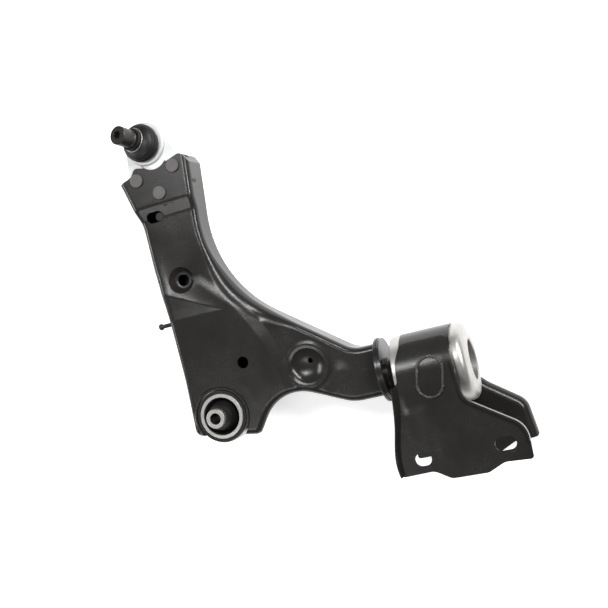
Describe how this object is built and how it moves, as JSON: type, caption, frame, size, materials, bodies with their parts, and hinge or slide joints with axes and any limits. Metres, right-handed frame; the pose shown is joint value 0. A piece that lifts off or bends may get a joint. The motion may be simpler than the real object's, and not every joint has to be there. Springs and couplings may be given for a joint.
{
  "type": "control arm",
  "caption": "Pressed steel L-shaped front lower control arm with a riveted ball joint, a corner bush and a bracketed rear bush.",
  "frame": {"origin": "centre of the corner bush bore, at half its length", "axes": "+Z along the corner bush bore to the side the ball stud stands on, +X along the rear bush axis away from the corner bush, +Y toward the ball joint"},
  "size_m": [0.3853, 0.4539, 0.1133],
  "materials": {
    "satin_black_paint": "satin",
    "dark_steel": "phosphated",
    "zinc_steel": "satin",
    "bright_zinc": "satin",
    "rivet_steel": "matt",
    "black_rubber": "matt",
    "seat_plastic": "matt"
  },
  "bodies": {
    "arm": {"arm_upper_shell": "satin_black_paint", "arm_lower_shell": "satin_black_paint", "keyhole_plug": "satin_black_paint", "locating_pin": "dark_steel", "corner_bush_eye": "satin_black_paint", "corner_bush_outer_sleeve": "zinc_steel", "corner_bush_end_rings": "zinc_steel", "corner_bush_rubber": "black_rubber", "ball_joint_housing": "bright_zinc", "ball_joint_seat": "seat_plastic", "ball_joint_end_cover": "bright_zinc", "ball_joint_rivets": "rivet_steel", "boot_lower_clip": "zinc_steel", "tail_flange": "satin_black_paint", "rear_bush_spigot": "satin_black_paint", "rear_bush_inner_sleeve": "zinc_steel"},
    "corner_sleeve": {"corner_bush_inner_sleeve": "zinc_steel"},
    "rear_bracket": {"rear_bush_rubber": "black_rubber", "rear_bush_outer_shell": "zinc_steel", "rear_bush_left_ring": "zinc_steel", "rear_bush_end_cap": "zinc_steel", "bracket_front_plate": "satin_black_paint", "bracket_back_shell": "satin_black_paint", "bracket_slot_weld": "satin_black_paint"},
    "boot": {"ball_boot": "black_rubber"},
    "boot_collar": {"boot_upper_clip": "zinc_steel"},
    "stud": {"ball_stud": "dark_steel"}
  },
  "joints": [
    {"name": "rear_bush_swing", "type": "hinge", "parent": "arm", "child": "rear_bracket", "pos_m": [0.245, 0, 0], "axis": [1, 0, 0], "range_deg": [-15, 15], "stiffness_Nm_per_rad": 115},
    {"name": "corner_bush_tilt", "type": "hinge", "parent": "arm", "child": "corner_sleeve", "pos_m": [0, 0, 0], "axis": [1, 0, 0], "range_deg": [-15, 15], "stiffness_Nm_per_rad": 60, "deforming": ["corner_bush_rubber"]},
    {"name": "ball_joint_tilt_x", "type": "hinge", "parent": "arm", "child": "boot", "pos_m": [-0.0125, 0.318, 0.012], "axis": [1, 0, 0], "range_deg": [-7, 28], "deforming": ["ball_boot"]},
    {"name": "ball_joint_tilt_y", "type": "hinge", "parent": "boot", "child": "boot_collar", "pos_m": [-0.0125, 0.318, 0.012], "axis": [0, 1, 0], "range_deg": [-6, 30]},
    {"name": "stud_spin", "type": "hinge", "parent": "boot_collar", "child": "stud", "pos_m": [-0.0125, 0.318, 0.012], "axis": [-0.2157, 0.1857, 0.9586], "continuous": true}
  ]
}
